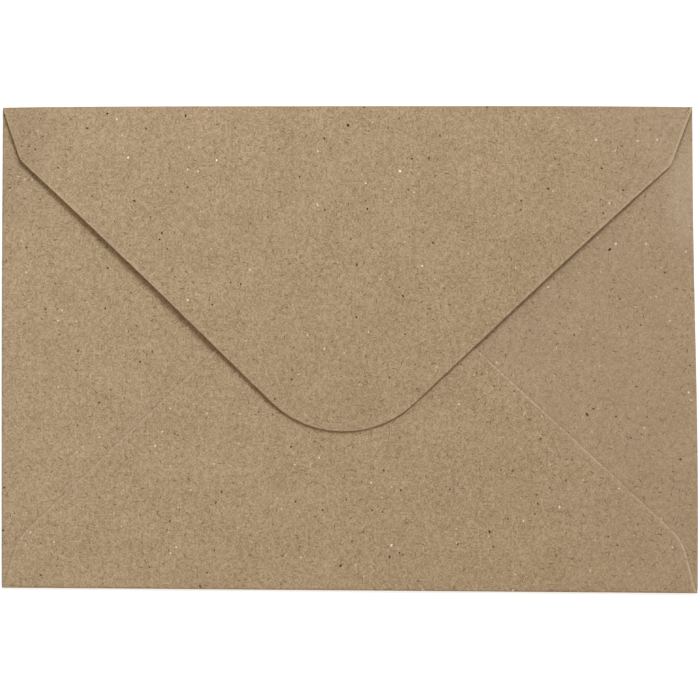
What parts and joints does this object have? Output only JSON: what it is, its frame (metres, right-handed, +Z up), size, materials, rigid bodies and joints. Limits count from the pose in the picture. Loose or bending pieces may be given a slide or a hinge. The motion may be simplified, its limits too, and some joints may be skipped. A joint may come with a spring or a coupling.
{
  "type": "paper envelope",
  "caption": "Empty greeting card envelope of flecked brown recycled paper, with a deep pointed flap, closed but not stuck down.",
  "frame": {"origin": "on the surface that the envelope lies on, under the middle of its outline", "axes": "+X along the top and bottom folds, to the right as the flap side is seen; +Y from the bottom fold to the top fold, where the flap hangs; +Z up, out of the flap side"},
  "size_m": [0.165, 0.115, 0.0025],
  "materials": {
    "kraft_paper": "matte"
  },
  "bodies": {
    "root": {"envelope_sheet": "kraft_paper"}
  },
  "joints": []
}
